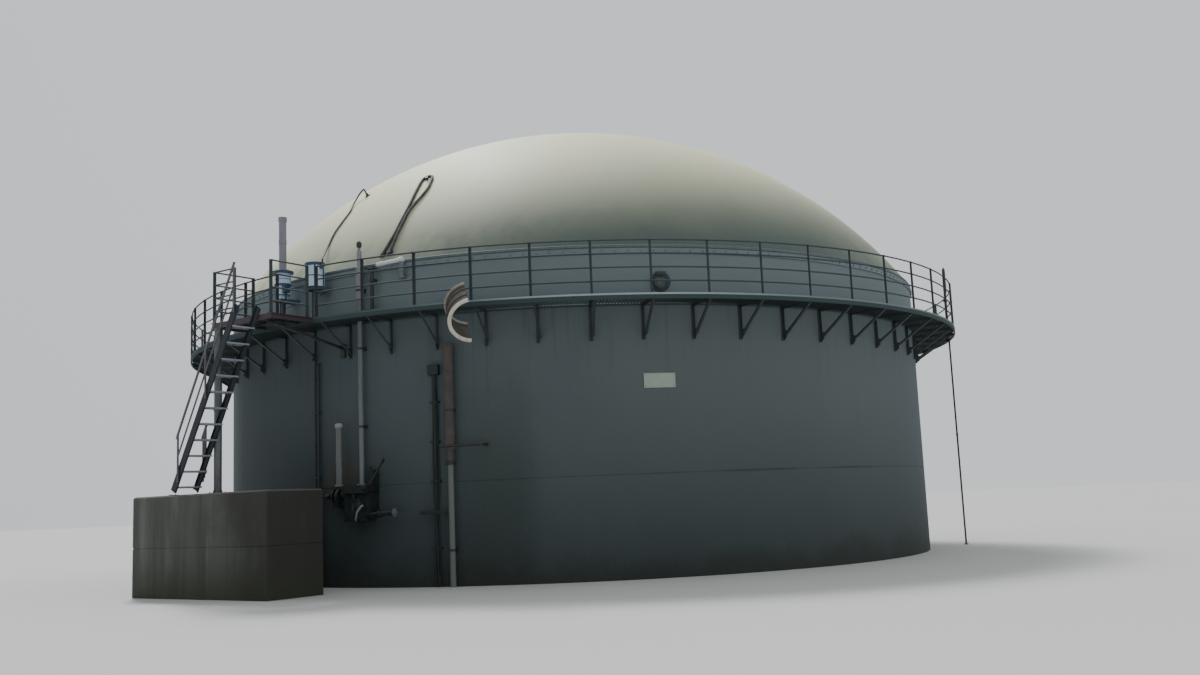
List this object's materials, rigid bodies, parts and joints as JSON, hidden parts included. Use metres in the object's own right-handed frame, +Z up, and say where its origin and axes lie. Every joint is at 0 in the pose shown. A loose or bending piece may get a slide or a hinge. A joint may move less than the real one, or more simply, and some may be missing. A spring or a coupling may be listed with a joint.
{
  "type": "biogas digester",
  "caption": "Round concrete tank under an inflated membrane dome, with a railed ring walkway on wall brackets, a side stair on a concrete block, relief drums and wall pipework.",
  "frame": {"origin": "on the tank's axis, at the underside of its floor, the level it stands on", "axes": "+Z up along the tank's axis; the side seen in the picture faces -Y, with +X to its right"},
  "size_m": [20.6621, 21.4746, 11.6203],
  "materials": {
    "concrete": "cast concrete, weathered and stained",
    "wall_coating": "dark slate coating, dull, streaked by rain",
    "membrane": "coated cream membrane, satin, soiled towards the rim",
    "clamp_steel": "dull flat bar with clamp bolts",
    "dark_steel": "dark paint, worn at the edges",
    "galvanised": "dull zinc, stained",
    "rusty_steel": "brown paint over rust",
    "port_glass": "dark glazed port in a dark ring",
    "sign_enamel": "pale green enamel, blank",
    "drum_enamel": "pale blue-white enamel with dark blue bands",
    "stack_plastic": "weathered grey pipe",
    "grey_plastic": "weathered grey pipe",
    "white_plastic": "clean white tube",
    "cast_dark": "dark casting with rust and grease",
    "dark_plastic": "dark sleeve, dusty",
    "saddle_beige": "beige rims on brown sheet",
    "black_rubber": "dull black"
  },
  "bodies": {
    "root": {"tank_floor": "concrete", "tank_wall_1": "wall_coating", "tank_wall_2": "wall_coating", "tank_wall_3": "wall_coating", "tank_wall_4": "wall_coating", "tank_wall_5": "wall_coating", "tank_wall_6": "wall_coating", "membrane_dome": "membrane", "membrane_clamp_1": "clamp_steel", "membrane_clamp_2": "clamp_steel", "membrane_clamp_3": "clamp_steel", "walkway_1": "dark_steel", "walkway_2": "dark_steel", "walkway_3": "dark_steel", "walkway_4": "dark_steel", "walkway_5": "dark_steel", "walkway_6": "dark_steel", "railing_1": "dark_steel", "railing_2": "dark_steel", "railing_3": "dark_steel", "railing_4": "dark_steel", "railing_5": "dark_steel", "railing_6a": "dark_steel", "railing_6b": "dark_steel", "landing_deck": "dark_steel", "landing_post": "galvanised", "landing_strut": "rusty_steel", "landing_railing_right": "dark_steel", "landing_railing_left": "dark_steel", "stair_flight": "galvanised", "stair_handrail_outer": "galvanised", "stair_handrail_inner": "galvanised", "stair_block": "concrete", "round_port": "port_glass", "sign_plate": "sign_enamel", "relief_drum_left": "drum_enamel", "drum_stand_left": "dark_steel", "relief_stack": "stack_plastic", "relief_drum_right": "drum_enamel", "drum_stand_right": "dark_steel", "vent_pipe": "grey_plastic", "inlet_post": "dark_steel", "inlet_tube": "white_plastic", "inlet_support": "dark_steel", "valve_casing": "cast_dark", "stub_pipe": "grey_plastic", "valve_handwheel": "cast_dark", "wall_conduits": "dark_plastic", "cable_trunk": "dark_plastic", "wall_riser": "rusty_steel", "hose_saddle": "saddle_beige", "lightning_rod": "dark_steel", "strap_hook": "dark_steel", "dome_strap": "black_rubber", "hose_lug": "dark_steel", "dome_hose": "black_rubber"}
  },
  "joints": []
}
